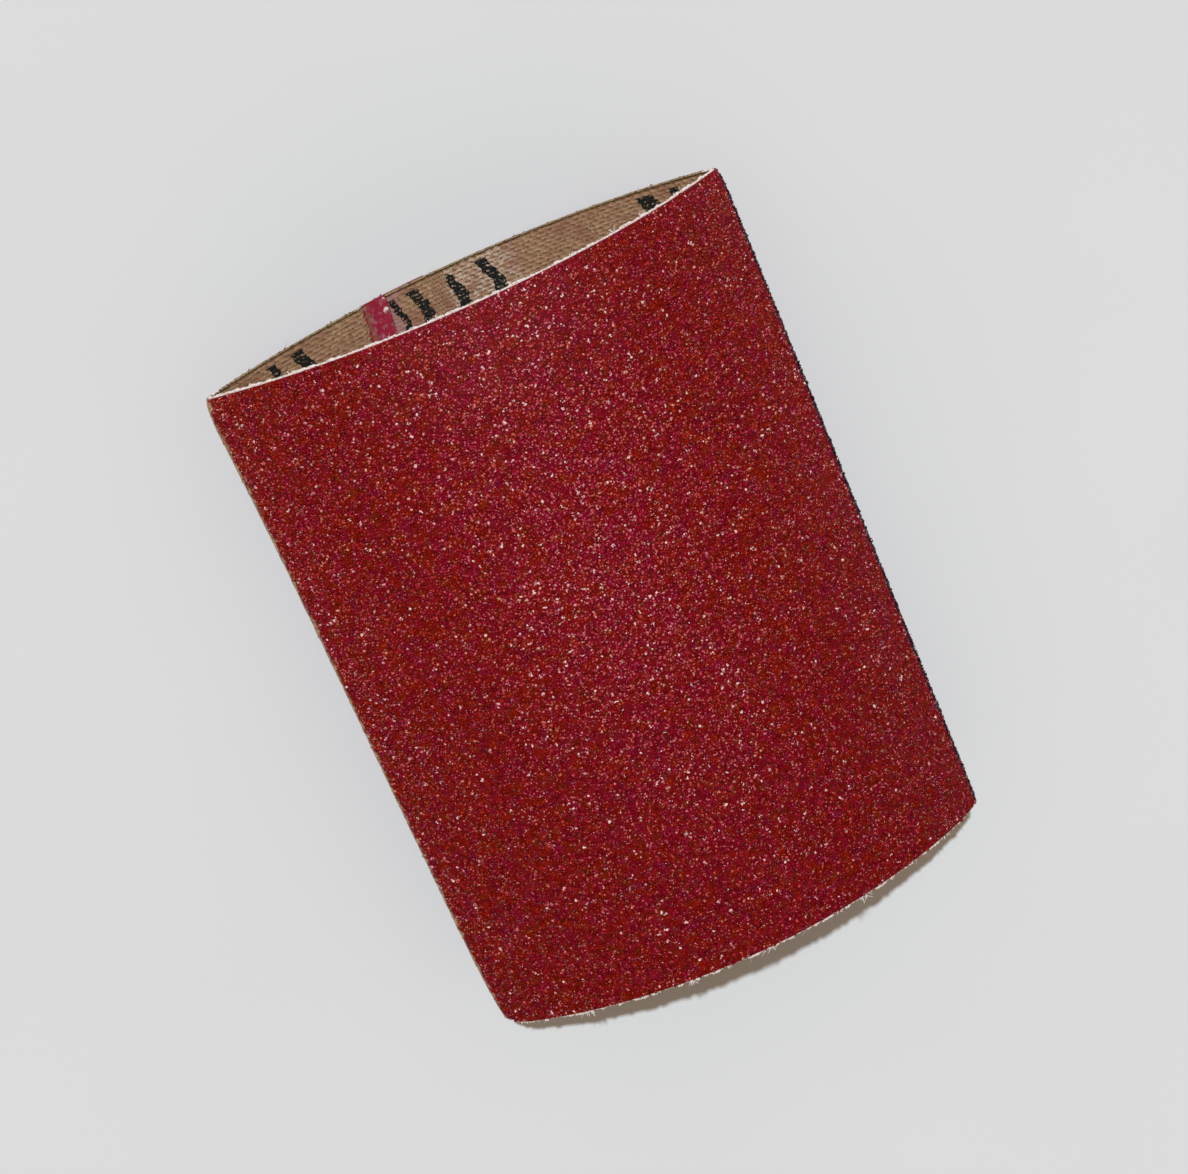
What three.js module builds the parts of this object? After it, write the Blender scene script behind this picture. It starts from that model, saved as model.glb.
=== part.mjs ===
// Abrasive-cloth sleeve for a 51 mm sanding drum, lying pressed between two creases.
//
// Millimetres, +Z up. The sleeve's axis runs along Y, the creases point along X, and the origin is on
// the resting surface below the middle of the sleeve. The laminate is laid out flat, skived at its ends,
// and rolled into a loop whose ends are glued in a slanted lap. "around" is the distance along the bore
// face, counted towards +X from the middle of the lower wall. "depth" is the distance outwards from the
// bore face.

import * as THREE from 'three';
import { mergeVertices } from 'three/addons/utils/BufferGeometryUtils.js';

// Overall sizes.
const BORE_DIAMETER = 51; // of the sleeve when it is opened round
const SLEEVE_LENGTH = 100;
const RESTING_HEIGHT = 30.4; // over the outside, as it lies
const CREASE_INNER_RADIUS = 0.6;
const RESTING_FLAT = 3; // width of the narrow flat that it lies on

// The laminate, from the bore outwards.
const CLOTH_THICKNESS = 0.5;
const MAKE_COAT_THICKNESS = 0.07;
const GRAIN_THICKNESS = 0.22;
const SIZE_COAT_THICKNESS = 0.09;
const LAYER_GAP = 0.02;

// The lap. Its inner end is full cloth, and its outer end is skived down to a veil of fibres.
const LAP_OVERLAP = 6; // glued width
const BARE_STRIP = 3.4; // skived width that stays open to the bore
const SKIVE_TAPER = 1.2;
const VEIL_THICKNESS = 0.07;
const GLUE_THICKNESS = 0.06;
const GLUE_FILLET = 0.2; // height of the bead against the cut end of the cloth
const END_CLEARANCE = 0.03;
const SEAM_WIDTH = 0.3; // groove between the coats' two ends
const LAP_END_AROUND = -4.1; // where the outer end stops, at the sleeve's +Y end
const LAP_ANGLE = 6; // degrees from the sleeve's axis

// How finely the curves are divided.
const WALL_STEP = 5;
const CREASE_STEPS = 4;
const AXIAL_STEPS = 8;

const COAT_DEPTH = CLOTH_THICKNESS + LAYER_GAP;
const GRAIN_DEPTH = COAT_DEPTH + MAKE_COAT_THICKNESS + LAYER_GAP;
const SIZE_DEPTH = GRAIN_DEPTH + GRAIN_THICKNESS + LAYER_GAP;
const LAMINATE_THICKNESS = SIZE_DEPTH + SIZE_COAT_THICKNESS;
const LAP_LIFT = GLUE_THICKNESS + VEIL_THICKNESS + 2 * LAYER_GAP;

// The pressed section is two equal wall arcs joined by two crease arcs. The wall radius is the one that
// gives the bore face the girth of the round bore.
function pressedSection() {
  const halfHeight = RESTING_HEIGHT / 2 - LAMINATE_THICKNESS;
  const girth = Math.PI * BORE_DIAMETER;
  const shapeOf = (wallRadius) => {
    const drop = wallRadius - halfHeight;
    const creaseX = Math.sqrt((wallRadius - CREASE_INNER_RADIUS) ** 2 - drop ** 2);
    const halfAngle = Math.atan2(creaseX, drop);
    const wall = 2 * halfAngle * wallRadius;
    const crease = (Math.PI - 2 * halfAngle) * CREASE_INNER_RADIUS;
    return { wallRadius, drop, creaseX, halfAngle, wall, crease, girth };
  };
  let low = BORE_DIAMETER / 2;
  let high = 100 * BORE_DIAMETER;
  while (high - low > 1e-9 * BORE_DIAMETER) {
    const middle = (low + high) / 2;
    const { wall, crease } = shapeOf(middle);
    if (2 * (wall + crease) < girth) low = middle;
    else high = middle;
  }
  return shapeOf(high);
}

const SECTION = pressedSection();
const HALF_WALL = SECTION.wall / 2;

// Where the lap's edges lie at the middle of the sleeve's length.
const LAP_SLOPE = Math.tan(THREE.MathUtils.degToRad(LAP_ANGLE));
const LAP_END = LAP_END_AROUND - (LAP_SLOPE * SLEEVE_LENGTH) / 2;
const CLOTH_START = LAP_END - LAP_OVERLAP;
const BARE_START = CLOTH_START - BARE_STRIP;
const SKIVE_START = BARE_START - SKIVE_TAPER;
const COAT_START = LAP_END + SEAM_WIDTH;

// A point of the section, its centre of height at 0.
function sectionPoint(around, depth) {
  const { wallRadius, drop, creaseX, halfAngle, wall, crease, girth } = SECTION;
  const half = girth / 2;
  const turns = Math.floor((around + HALF_WALL) / half);
  const along = around - turns * half;
  const side = turns % 2 === 0 ? 1 : -1;
  let x;
  let z;
  if (along <= HALF_WALL) {
    const angle = along / wallRadius;
    x = (wallRadius + depth) * Math.sin(angle);
    z = drop - (wallRadius + depth) * Math.cos(angle);
  } else {
    const angle = halfAngle + (along - HALF_WALL) / CREASE_INNER_RADIUS;
    x = creaseX + (CREASE_INNER_RADIUS + depth) * Math.sin(angle);
    z = -(CREASE_INNER_RADIUS + depth) * Math.cos(angle);
  }
  return new THREE.Vector2(side * x, side * z);
}

// The lap's edges are slanted. The slant dies away before the creases and the resting flat.
function slant(around, along) {
  const place = around > SECTION.girth / 2 ? around - SECTION.girth : around;
  const fromCrease = (place + HALF_WALL) / (SKIVE_START + HALF_WALL);
  const fromFlat = (-RESTING_FLAT / 2 - place) / (-RESTING_FLAT / 2 - COAT_START);
  const share = THREE.MathUtils.clamp(Math.min(fromCrease, fromFlat), 0, 1);
  return LAP_SLOPE * along * share;
}

// Distances around the loop at which every layer has a row of corners, over one turn and the lap.
function loopStations() {
  const { wall, crease, girth } = SECTION;
  const upperWall = HALF_WALL + crease;
  const leftCrease = upperWall + wall;
  const leftWall = leftCrease + crease;
  const flat = RESTING_FLAT / 2;
  const lap = [CLOTH_START - END_CLEARANCE, CLOTH_START, (CLOTH_START + LAP_END) / 2, LAP_END];
  const secondLap = lap.map((around) => around + girth);
  return [
    ...lap,
    ...steps(COAT_START, -flat, WALL_STEP),
    ...steps(-flat, flat, RESTING_FLAT),
    ...steps(flat, HALF_WALL, WALL_STEP),
    ...steps(HALF_WALL, upperWall, crease / CREASE_STEPS),
    ...steps(upperWall, leftCrease, WALL_STEP),
    ...steps(leftCrease, leftWall, crease / CREASE_STEPS),
    ...steps(leftWall, SKIVE_START + girth, WALL_STEP),
    ...steps(SKIVE_START + girth, BARE_START + girth, SKIVE_TAPER),
    ...steps(BARE_START + girth, secondLap[0], BARE_STRIP / 2),
    ...secondLap,
  ];
}

// Even steps from one distance up to, but without, the next, none much longer than the given one.
function steps(from, to, longest) {
  const count = Math.max(1, Math.round((to - from) / longest));
  return Array.from({ length: count }, (_, i) => from + ((to - from) * i) / count);
}

const STATIONS = loopStations();

function stationsBetween(first, last) {
  const tolerance = END_CLEARANCE / 10;
  return STATIONS.filter((around) => around > first - tolerance && around < last + tolerance);
}

// How far the layers of the outer end ride up over the inner end.
function lift(around) {
  const bareStart = BARE_START + SECTION.girth;
  const clothStart = CLOTH_START - END_CLEARANCE + SECTION.girth;
  return LAP_LIFT * THREE.MathUtils.clamp((around - bareStart) / (clothStart - bareStart), 0, 1);
}

// Rolls a flat layer into the loop. faces(around) gives the depths of its inner and outer face.
function rollLayer(name, stations, faces, finish) {
  const columns = stations.length - 1;
  const layer = new THREE.BoxGeometry(columns, AXIAL_STEPS, 1, columns, AXIAL_STEPS, 1);
  const corners = layer.attributes.position;
  for (let i = 0; i < corners.count; i += 1) {
    const around = stations[Math.round(corners.getX(i) + columns / 2)];
    const along = (-corners.getY(i) / AXIAL_STEPS) * SLEEVE_LENGTH;
    const [inner, outer] = faces(around);
    const depth = corners.getZ(i) > 0 ? outer : inner;
    const point = sectionPoint(around + slant(around, along), depth);
    corners.setXYZ(i, point.x, along, point.y);
  }
  matchDiagonals(layer);
  layer.deleteAttribute('normal');
  layer.deleteAttribute('uv');
  const mesh = new THREE.Mesh(mergeVertices(layer, 1e-4), new THREE.MeshStandardMaterial(finish));
  mesh.name = name;
  return mesh;
}

// Splits the inner face's quads along the same diagonals as the outer face's, so that the facets of
// neighbouring layers stay parallel where the slant twists them.
function matchDiagonals(layer) {
  const innerFace = layer.groups[5];
  const corners = layer.index.array;
  for (let i = innerFace.start; i < innerFace.start + innerFace.count; i += 6) {
    const [a, b, d, , c] = corners.slice(i, i + 5);
    corners.set([a, b, c, a, c, d], i);
  }
}

// Woven cotton strip: full at its inner end, skived from the bore side at its outer end.
function backingCloth() {
  const skiveStart = SKIVE_START + SECTION.girth;
  const bareStart = BARE_START + SECTION.girth;
  const faces = (around) => {
    const skived = THREE.MathUtils.clamp((around - skiveStart) / (bareStart - skiveStart), 0, 1);
    const inner = skived * (CLOTH_THICKNESS - VEIL_THICKNESS);
    return [inner + lift(around), CLOTH_THICKNESS + lift(around)];
  };
  const stations = stationsBetween(CLOTH_START, LAP_END + SECTION.girth);
  return rollLayer('backing_cloth', stations, faces, { color: '#88634a', roughness: 0.9, metalness: 0 });
}

// A coat on the cloth's outside. It starts beside the outer end's edge and runs round to that edge.
function coat(name, depth, thickness, finish) {
  const stations = stationsBetween(COAT_START, LAP_END + SECTION.girth);
  const faces = (around) => [depth + lift(around), depth + thickness + lift(around)];
  return rollLayer(name, stations, faces, finish);
}

// Cured adhesive: a film over the bare strip, a bead against the cloth's cut end, and the lap's film.
function spliceGlue() {
  const { girth } = SECTION;
  const beadEdge = CLOTH_START - END_CLEARANCE + girth;
  const bareFilm = CLOTH_THICKNESS - VEIL_THICKNESS - LAYER_GAP;
  const faces = (around) => {
    const outer = bareFilm + lift(around);
    if (around < beadEdge - END_CLEARANCE) return [outer - GLUE_THICKNESS, outer];
    if (around < beadEdge + END_CLEARANCE / 2) return [outer - GLUE_FILLET, outer];
    return [CLOTH_THICKNESS + LAYER_GAP, CLOTH_THICKNESS + LAYER_GAP + GLUE_THICKNESS];
  };
  const stations = stationsBetween(BARE_START + girth, LAP_END + girth);
  return rollLayer('splice_glue', stations, faces, { color: '#d8c8bc', roughness: 0.25, metalness: 0 });
}

const sleeve = new THREE.Group();
sleeve.add(
  backingCloth(),
  coat('make_coat', COAT_DEPTH, MAKE_COAT_THICKNESS, { color: '#6a1c1a', roughness: 0.45, metalness: 0 }),
  coat('abrasive_grain', GRAIN_DEPTH, GRAIN_THICKNESS, { color: '#7e2428', roughness: 0.7, metalness: 0 }),
  coat('size_coat', SIZE_DEPTH, SIZE_COAT_THICKNESS, { color: '#8a272c', roughness: 0.5, metalness: 0 }),
  spliceGlue(),
);
sleeve.position.z = -sectionPoint(RESTING_FLAT / 2, LAMINATE_THICKNESS).y;

export default sleeve;
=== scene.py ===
"""Visual model of an abrasive-cloth sleeve that lies pressed between two creases.

The laminate is worked flat, with x as the distance around the bore face, y along the sleeve and z as the
depth outwards from the bore face, and is then rolled on to the pressed section. Units are metres.
"""

import logging
import math
from dataclasses import dataclass, field
from enum import Enum
from functools import cached_property
from typing import Callable, Sequence

import bpy
import numpy as np
from mathutils import Matrix, Vector


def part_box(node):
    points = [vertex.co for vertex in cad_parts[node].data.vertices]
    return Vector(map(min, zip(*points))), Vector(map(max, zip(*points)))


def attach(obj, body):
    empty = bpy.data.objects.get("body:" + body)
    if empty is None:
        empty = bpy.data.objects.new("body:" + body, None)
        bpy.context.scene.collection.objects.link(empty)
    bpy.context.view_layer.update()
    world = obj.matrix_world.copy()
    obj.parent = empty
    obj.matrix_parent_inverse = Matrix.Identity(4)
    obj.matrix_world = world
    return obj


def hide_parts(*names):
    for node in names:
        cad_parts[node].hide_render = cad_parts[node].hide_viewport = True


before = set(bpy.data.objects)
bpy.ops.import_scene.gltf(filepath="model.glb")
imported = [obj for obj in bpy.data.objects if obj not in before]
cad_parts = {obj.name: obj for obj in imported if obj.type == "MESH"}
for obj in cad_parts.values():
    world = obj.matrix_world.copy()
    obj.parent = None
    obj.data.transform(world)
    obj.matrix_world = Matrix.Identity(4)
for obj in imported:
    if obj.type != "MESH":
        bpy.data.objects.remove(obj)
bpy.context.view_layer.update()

MM = 0.001
BAKE_MAP = "OFBake"
FLAT_MAP = "flat_cloth"

log = logging.getLogger("sleeve")
Faces = Callable[[np.ndarray], tuple[np.ndarray, np.ndarray]]
Colour = tuple[float, float, float]


# ---------------------------------------------------------------- shape of the sleeve


@dataclass(frozen=True)
class PressedSection:
    """Two equal wall arcs joined by two crease arcs, followed along the bore face."""

    half_width: float
    length: float
    resting_height: float = 30.4 * MM
    crease_radius: float = 0.6 * MM
    laminate: float = 0.94 * MM
    resting_flat: float = 3 * MM

    @cached_property
    def half_height(self) -> float:
        """Half the height of the hollow."""
        return self.resting_height / 2 - self.laminate

    @cached_property
    def crease_x(self) -> float:
        """How far the crease arcs' centres lie from the middle."""
        return self.half_width - self.crease_radius - self.laminate

    @cached_property
    def wall_radius(self) -> float:
        """Radius of the wall arcs on the bore face."""
        height, crease = self.half_height, self.crease_radius
        return (self.crease_x**2 + height**2 - crease**2) / (2 * (height - crease))

    @cached_property
    def drop(self) -> float:
        """Distance from the middle of the hollow to a wall arc's centre."""
        return self.wall_radius - self.half_height

    @cached_property
    def half_angle(self) -> float:
        """Half the angle that a wall arc spans."""
        return math.atan2(self.crease_x, self.drop)

    @cached_property
    def half_wall(self) -> float:
        """Half the length of a wall arc."""
        return self.half_angle * self.wall_radius

    @cached_property
    def half_girth(self) -> float:
        """Length of one wall arc and one crease arc."""
        return 2 * self.half_wall + (math.pi - 2 * self.half_angle) * self.crease_radius

    @cached_property
    def girth(self) -> float:
        """Length once round the bore face."""
        return 2 * self.half_girth

    @cached_property
    def middle_z(self) -> float:
        """Height of the creases above the surface that the sleeve lies on."""
        outer = self.wall_radius + self.laminate
        angle = self.resting_flat / 2 / self.wall_radius
        return outer * math.cos(angle) - self.drop

    def place(self, around: np.ndarray, along: np.ndarray, depth: np.ndarray) -> np.ndarray:
        """Rolls flat points on to the section.

        Args:
            around: Distances round the bore face, from the middle of the lower wall towards +X.
            along: Distances along the sleeve from its middle.
            depth: Distances outwards from the bore face.

        Returns:
            An array of points, one row each.
        """
        turns = np.floor((around + self.half_wall) / self.half_girth)
        local = around - turns * self.half_girth
        side = np.where(turns % 2 == 0, 1.0, -1.0)
        wall_angle = local / self.wall_radius
        crease_angle = self.half_angle + (local - self.half_wall) / self.crease_radius
        on_wall = local <= self.half_wall
        wall_reach = self.wall_radius + depth
        crease_reach = self.crease_radius + depth
        x_wall, z_wall = wall_reach * np.sin(wall_angle), self.drop - wall_reach * np.cos(wall_angle)
        x_crease = self.crease_x + crease_reach * np.sin(crease_angle)
        z_crease = -crease_reach * np.cos(crease_angle)
        x = side * np.where(on_wall, x_wall, x_crease)
        z = side * np.where(on_wall, z_wall, z_crease) + self.middle_z
        return np.column_stack([x, along, np.maximum(z, 0.0)])


@dataclass(frozen=True)
class Lap:
    """The slanted glued lap in the lower wall. Distances are round the bore face, at mid-length."""

    section: PressedSection
    overlap: float = 6 * MM
    bare_strip: float = 3.4 * MM
    taper: float = 1.2 * MM
    seam: float = 0.3 * MM
    end_around: float = -4.1 * MM
    angle: float = math.radians(6)
    cloth: float = 0.5 * MM
    veil: float = 0.07 * MM
    glue: float = 0.06 * MM
    gap: float = 0.02 * MM
    risen_before: float = 0.2  # share of the bare strip that is already at its full height

    @cached_property
    def end(self) -> float:
        """Where the outer end stops."""
        return self.end_around - math.tan(self.angle) * self.section.length / 2

    @cached_property
    def cloth_start(self) -> float:
        """Where the inner end of the cloth is cut."""
        return self.end - self.overlap

    @cached_property
    def bare_start(self) -> float:
        """Where the skived strip of the outer end begins."""
        return self.cloth_start - self.bare_strip

    @cached_property
    def skive_start(self) -> float:
        """Where the outer end begins to thin."""
        return self.bare_start - self.taper

    @cached_property
    def coat_start(self) -> float:
        """Where the coats begin again beside the outer end."""
        return self.end + self.seam

    @cached_property
    def rise(self) -> float:
        """How far the outer end rides up over the inner end."""
        return self.glue + self.veil + 2 * self.gap

    def slant(self, around: np.ndarray, along: np.ndarray) -> np.ndarray:
        """Shift of flat points by the lap's slant, which dies away before the creases and the flat.

        Args:
            around: Distances round the bore face.
            along: Distances along the sleeve from its middle.

        Returns:
            What is added to the distances round the bore face.
        """
        section = self.section
        place = np.where(around > section.half_girth, around - section.girth, around)
        from_crease = (place + section.half_wall) / (self.skive_start + section.half_wall)
        flat_edge = -section.resting_flat / 2
        from_flat = (flat_edge - place) / (flat_edge - self.coat_start)
        return math.tan(self.angle) * along * np.clip(np.minimum(from_crease, from_flat), 0, 1)

    def lift(self, around: np.ndarray) -> np.ndarray:
        """How far the outer end's layers are raised.

        Args:
            around: Distances round the loop.

        Returns:
            The rise at each distance.
        """
        bare = self.bare_start + self.section.girth
        full = self.cloth_start - self.risen_before * self.bare_strip + self.section.girth
        return self.rise * np.clip((around - bare) / (full - bare), 0, 1)

    def cloth_faces(self, around: np.ndarray) -> tuple[np.ndarray, np.ndarray]:
        """Depths of the cloth's two faces.

        Args:
            around: Distances round the loop.

        Returns:
            The depths of its inner face and of its outer face.
        """
        girth = self.section.girth
        skived = (around - self.skive_start - girth) / (self.bare_start - self.skive_start)
        inner = np.clip(skived, 0, 1) * (self.cloth - self.veil)
        return inner + self.lift(around), self.cloth + self.lift(around)

    def coat_faces(self, depth: float, thickness: float) -> Faces:
        """Depths of the two faces of a coat that starts at a depth."""
        return lambda around: (depth + self.lift(around), depth + thickness + self.lift(around))


# ---------------------------------------------------------------- modelling at the bench


class Bench:
    """Blender's modelling operators, used on one piece at a time."""

    @staticmethod
    def clear() -> None:
        """Deselects everything."""
        for thing in bpy.context.selected_objects:
            thing.select_set(False)

    @staticmethod
    def named(name: str) -> bpy.types.Object:
        """Names the piece that was just added.

        Args:
            name: Name of the piece and of its mesh.

        Returns:
            The piece.
        """
        piece = bpy.context.object
        piece.name = name
        piece.data.name = name
        return piece

    @staticmethod
    def blank(name: str, start: float, end: float, width: float, cells: tuple[int, int],
              columns: Sequence[float] = ()) -> bpy.types.Object:
        """Cuts a flat blank, one unit thick, for roll to bend.

        Args:
            name: Name of the piece.
            start: Where the blank begins round the loop.
            end: Where it ends.
            width: Its size along the sleeve.
            cells: Cells round the loop and along the sleeve.
            columns: Distances round the loop at which it gets an extra row of corners.

        Returns:
            The new object.
        """
        Bench.clear()
        bpy.ops.mesh.primitive_grid_add(x_subdivisions=cells[0], y_subdivisions=cells[1], size=1)
        piece = Bench.named(name)
        bpy.ops.object.mode_set(mode="EDIT")
        bpy.ops.mesh.select_all(action="SELECT")
        bpy.ops.transform.resize(value=(end - start, width, 1))
        bpy.ops.transform.translate(value=((start + end) / 2, 0, 0))
        for column in columns:
            bpy.ops.mesh.select_all(action="SELECT")
            bpy.ops.mesh.bisect(plane_co=(column, 0, 0), plane_no=(1, 0, 0))
        bpy.ops.mesh.select_all(action="SELECT")
        bpy.ops.mesh.extrude_region_move(TRANSFORM_OT_translate={"value": (0, 0, 1)})
        bpy.ops.mesh.select_all(action="SELECT")
        bpy.ops.mesh.normals_make_consistent(inside=False)
        bpy.ops.object.mode_set(mode="OBJECT")
        return piece

    @staticmethod
    def corners(piece: bpy.types.Object) -> np.ndarray:
        """Reads a piece's corners.

        Args:
            piece: The piece.

        Returns:
            Their places, one row each.
        """
        found = np.empty(len(piece.data.vertices) * 3)
        piece.data.vertices.foreach_get("co", found)
        return found.reshape(-1, 3)

    @staticmethod
    def move_corners(piece: bpy.types.Object, places: np.ndarray) -> None:
        """Puts the piece's corners at new places."""
        piece.data.vertices.foreach_set("co", places.ravel())
        piece.data.update()

    @staticmethod
    def face_out(piece: bpy.types.Object) -> None:
        """Turns the faces of a closed piece outwards.

        Args:
            piece: The piece.
        """
        Bench.clear()
        bpy.context.view_layer.objects.active = piece
        piece.select_set(True)
        bpy.ops.object.mode_set(mode="EDIT")
        bpy.ops.mesh.select_all(action="SELECT")
        bpy.ops.mesh.normals_make_consistent(inside=False)
        bpy.ops.object.mode_set(mode="OBJECT")

    @staticmethod
    def smooth(piece: bpy.types.Object, angle: float = math.radians(40)) -> None:
        """Shades a piece smooth.

        Args:
            piece: The piece.
            angle: The angle between faces above which their edge stays sharp.
        """
        Bench.clear()
        bpy.context.view_layer.objects.active = piece
        piece.select_set(True)
        bpy.ops.object.shade_smooth_by_angle(angle=angle)

    @staticmethod
    def add_map(piece: bpy.types.Object, name: str, places: np.ndarray) -> None:
        """Gives a piece a map.

        Args:
            piece: The piece.
            name: Name of the map.
            places: A place on the map for each corner of the mesh, one row each.
        """
        loops = np.empty(len(piece.data.loops), np.int32)
        piece.data.loops.foreach_get("vertex_index", loops)
        layer = piece.data.uv_layers.new(name=name)
        layer.data.foreach_set("uv", places[loops].ravel())


@dataclass(frozen=True)
class Roller:
    """Bends flat blanks on to the section, with the small ways in which a real sleeve strays from it.

    Its creases bow outwards between the ends, the left one most towards the +Y end. Its -Y end has blunt
    corners and is cut a little long, and its outer end has slipped along the lap.
    """

    section: PressedSection
    lap: Lap
    left_blunt: float = 0.85 * MM
    right_blunt: float = 0.5 * MM
    corner_width: float = 1.8 * MM
    corner_reach: float = 6 * MM
    left_bow: float = 0.8 * MM
    left_flare: float = 0.95 * MM
    left_square: float = 0.4
    right_bow: float = 0.45 * MM
    over_length: float = 0.33 * MM
    lap_slip: float = 0.2 * MM
    crease_step: float = 0.14 * MM
    flare_reach: float = 22 * MM
    near_settling: float = 8 * MM
    far_settling: float = 1.5 * MM

    def crease_columns(self) -> list[float]:
        """Distances round the loop at which a blank gets extra corners, to bend round the creases."""
        creases = (0.5 * self.section.half_girth, 1.5 * self.section.half_girth)
        return [crease + step * self.crease_step for crease in creases for step in range(-4, 5)]

    def points(self, flat: np.ndarray) -> np.ndarray:
        """Bends flat points.

        Args:
            flat: Points as distances round the bore face, along the sleeve and outwards, one row each.

        Returns:
            Their places on the sleeve, one row each.
        """
        section = self.section
        around = flat[:, 0] + self.lap.slant(flat[:, 0], flat[:, 1])
        crease = section.half_wall + (section.half_girth - 2 * section.half_wall) / 2
        half_turn = section.half_girth / 2
        from_crease = np.mod(around - crease + half_turn, section.half_girth) - half_turn
        near_end = np.clip(1 - (flat[:, 1] + section.length / 2) / self.corner_reach, 0, 1)
        places = section.place(around, flat[:, 1], flat[:, 2])
        across = places[:, 0] / section.half_width
        blunt = np.where(across > 0, self.right_blunt, self.left_blunt)
        places[:, 1] += blunt * np.exp(-((from_crease / self.corner_width) ** 2)) * near_end
        places[:, 1] -= self.over_length * np.clip(0.5 - flat[:, 1] / section.length, 0, 1)
        bare_start = self.lap.bare_start + section.girth
        places[:, 1] += self.lap_slip * np.clip((flat[:, 0] - bare_start) / self.lap.taper + 1, 0, 1)
        places[:, 0] += self._bow(across, flat[:, 1])
        return places

    def _bow(self, across: np.ndarray, along: np.ndarray) -> np.ndarray:
        """How far the creases bow outwards.

        Args:
            across: Places across the sleeve, from -1 at its left crease to 1 at its right crease.
            along: Distances along the sleeve from its middle.

        Returns:
            The shift in X at each place.
        """
        from_far = np.maximum(self.section.length / 2 - along, 0)
        from_near = np.maximum(self.section.length / 2 + along, 0)
        left = self.left_bow + self.left_flare * np.exp(-from_far / self.flare_reach)
        left *= 1 - np.exp(-from_near / self.near_settling)
        settled = np.exp(-from_far / self.far_settling)
        left *= 1 - self.left_square * settled
        right = self.right_bow * (1 - settled)
        return right * np.clip(across, 0, 1) ** 3 - left * np.clip(-across, 0, 1) ** 3

    def roll(self, piece: bpy.types.Object, faces: Faces,
             relief: Callable[[np.ndarray], np.ndarray] | None = None) -> None:
        """Rolls a blank, gives it the map of the flat cloth in millimetres, and smooths it.

        Args:
            piece: The blank.
            faces: Gives the depths of its inner and outer face at distances round the loop.
            relief: Gives what is added to the depths at the blank's points.
        """
        flat = Bench.corners(piece)
        inner, outer = faces(flat[:, 0])
        depth = np.where(flat[:, 2] > 0.5, outer, inner)
        if relief is not None:
            depth = depth + relief(flat)
        Bench.add_map(piece, FLAT_MAP, flat[:, :2] / MM)
        Bench.move_corners(piece, self.points(np.column_stack([flat[:, :2], depth])))
        Bench.face_out(piece)
        Bench.smooth(piece)


@dataclass(frozen=True)
class Mould:
    """A small closed shape that is copied many times, as corners and triangles."""

    corners: np.ndarray
    triangles: np.ndarray

    @classmethod
    def from_active(cls) -> "Mould":
        """Takes the active object's mesh as a mould, in triangles, and removes the object.

        Returns:
            The mould.
        """
        piece = bpy.context.object
        bpy.ops.object.mode_set(mode="EDIT")
        bpy.ops.mesh.select_all(action="SELECT")
        bpy.ops.mesh.quads_convert_to_tris()
        bpy.ops.mesh.normals_make_consistent(inside=False)
        bpy.ops.object.mode_set(mode="OBJECT")
        triangles = np.empty(len(piece.data.polygons) * 3, np.int32)
        piece.data.polygons.foreach_get("vertices", triangles)
        mould = cls(Bench.corners(piece), triangles.reshape(-1, 3))
        bpy.data.objects.remove(piece)
        return mould


class Copies:
    """Collects copies of moulds in flat coordinates and joins them into one rolled mesh."""

    def __init__(self) -> None:
        """Starts with nothing."""
        self.corners: list[np.ndarray] = []
        self.triangles: list[np.ndarray] = []
        self.count = 0

    def add(self, mould: Mould, centres: np.ndarray, turns: np.ndarray) -> None:
        """Adds one copy of a mould at each centre.

        Args:
            mould: The shape.
            centres: Flat points, one row each.
            turns: A 3 by 3 matrix for each copy, which turns and scales it.
        """
        placed = np.einsum("nij,vj->nvi", turns, mould.corners) + centres[:, None, :]
        first = self.count + len(mould.corners) * np.arange(len(centres))
        self.triangles.append((mould.triangles[None] + first[:, None, None]).reshape(-1, 3))
        self.corners.append(placed.reshape(-1, 3))
        self.count += placed.shape[0] * placed.shape[1]

    def join(self, name: str, roller: Roller) -> bpy.types.Object:
        """Makes the rolled mesh, with a bake map laid out as the flat cloth.

        Args:
            name: Name of the piece.
            roller: Bends the flat points.

        Returns:
            The new object.
        """
        flat = np.vstack(self.corners)
        # Rolling turns a right hand into a left one, so each triangle is taken the other way round.
        triangles = np.vstack(self.triangles)[:, ::-1]
        # The bake map overlaps itself, and its last faces win, so the outermost ones come last.
        triangles = triangles[np.argsort(flat[triangles, 2].mean(1), kind="stable")]
        mesh = bpy.data.meshes.new(name)
        mesh.vertices.add(len(flat))
        mesh.vertices.foreach_set("co", roller.points(flat).ravel())
        mesh.loops.add(triangles.size)
        mesh.loops.foreach_set("vertex_index", triangles.ravel())
        mesh.polygons.add(len(triangles))
        mesh.polygons.foreach_set("loop_start", np.arange(0, triangles.size, 3))
        mesh.update(calc_edges=True)
        piece = bpy.data.objects.new(name, mesh)
        bpy.context.scene.collection.objects.link(piece)
        span = flat[:, :2].max(0) - flat[:, :2].min(0)
        Bench.add_map(piece, BAKE_MAP, (flat[:, :2] - flat[:, :2].min(0)) / span)
        return piece


def random_turns(rng: np.random.Generator, count: int) -> np.ndarray:
    """Draws rotations that are spread evenly over all directions.

    Args:
        rng: Where the draws come from.
        count: How many.

    Returns:
        A 3 by 3 matrix for each.
    """
    quaternion = rng.normal(size=(count, 4))
    w, x, y, z = (quaternion / np.linalg.norm(quaternion, axis=1, keepdims=True)).T
    rows = [
        [1 - 2 * (y * y + z * z), 2 * (x * y - z * w), 2 * (x * z + y * w)],
        [2 * (x * y + z * w), 1 - 2 * (x * x + z * z), 2 * (y * z - x * w)],
        [2 * (x * z - y * w), 2 * (y * z + x * w), 1 - 2 * (x * x + y * y)],
    ]
    return np.moveaxis(np.array(rows), 2, 0)


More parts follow.
